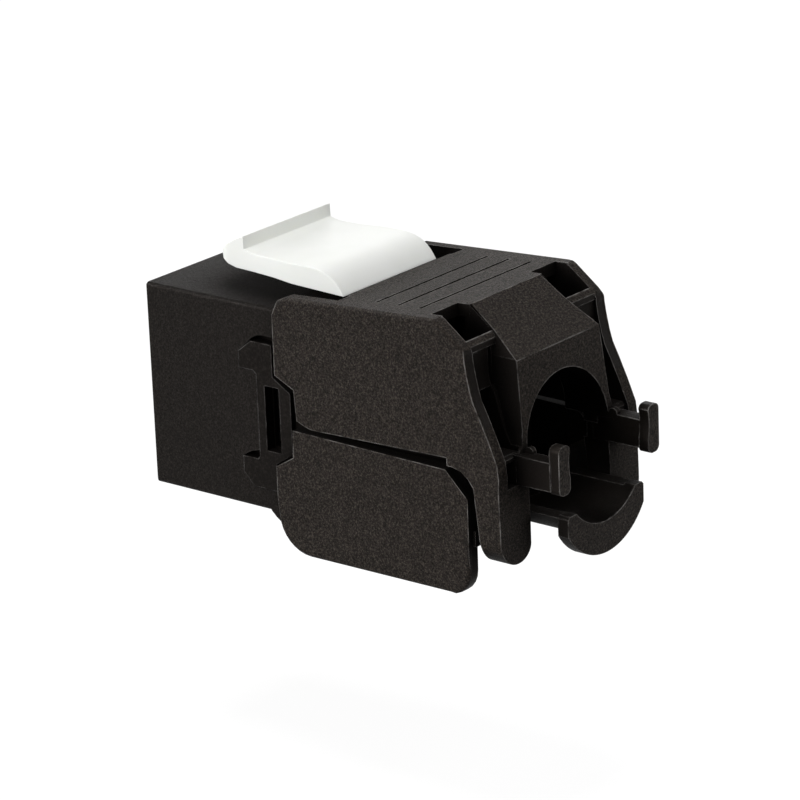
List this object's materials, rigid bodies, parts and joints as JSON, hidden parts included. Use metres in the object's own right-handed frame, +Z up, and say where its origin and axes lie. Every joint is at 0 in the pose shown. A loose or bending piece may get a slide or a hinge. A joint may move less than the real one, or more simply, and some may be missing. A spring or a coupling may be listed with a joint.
{
  "type": "keystone jack",
  "caption": "Tool-less keystone jack with a modular plug socket in front, a white sprung panel catch on top and hinged jaws that press wires onto terminals behind.",
  "frame": {"origin": "middle of the plug face of the front housing", "axes": "+X across the width, +Y from the plug face to the cable end, +Z up towards the catch"},
  "size_m": [0.0172, 0.0388, 0.0233],
  "materials": {
    "black_plastic": "fine spark-eroded satin",
    "jaw_plastic": "fine spark-eroded satin",
    "block_plastic": "satin",
    "insert_plastic": "satin",
    "white_plastic": "smooth",
    "board_green": "solder resist",
    "contact_gold": "gold plated",
    "terminal_bronze": "tin plated"
  },
  "bodies": {
    "housing": {"front_housing": "black_plastic", "contact_carrier": "insert_plastic", "circuit_board": "board_green", "idc_block": "block_plastic", "spring_contact_1": "contact_gold", "spring_contact_2": "contact_gold", "spring_contact_3": "contact_gold", "spring_contact_4": "contact_gold", "spring_contact_5": "contact_gold", "spring_contact_6": "contact_gold", "spring_contact_7": "contact_gold", "spring_contact_8": "contact_gold", "idc_terminal_1": "terminal_bronze", "idc_terminal_2": "terminal_bronze", "idc_terminal_3": "terminal_bronze", "idc_terminal_4": "terminal_bronze", "idc_terminal_5": "terminal_bronze", "idc_terminal_6": "terminal_bronze", "idc_terminal_7": "terminal_bronze", "idc_terminal_8": "terminal_bronze"},
    "latch": {"keystone_latch": "white_plastic"},
    "upper": {"upper_jaw": "jaw_plastic"},
    "lower": {"lower_jaw": "jaw_plastic"}
  },
  "joints": [
    {"name": "latch_press", "type": "hinge", "parent": "housing", "child": "latch", "pos_m": [0, 0.0166, 0.00935], "axis": [1, 0, 0], "range_deg": [0, 9], "stiffness_Nm_per_rad": 0.002, "springref_deg": -5.73},
    {"name": "upper_jaw_hinge", "type": "hinge", "parent": "housing", "child": "upper", "pos_m": [0, 0.0197, 0.0091], "axis": [1, 0, 0], "range_deg": [0, 80]},
    {"name": "lower_jaw_hinge", "type": "hinge", "parent": "housing", "child": "lower", "pos_m": [0, 0.0167, -0.0076], "axis": [-1, 0, 0], "range_deg": [0, 70]}
  ]
}
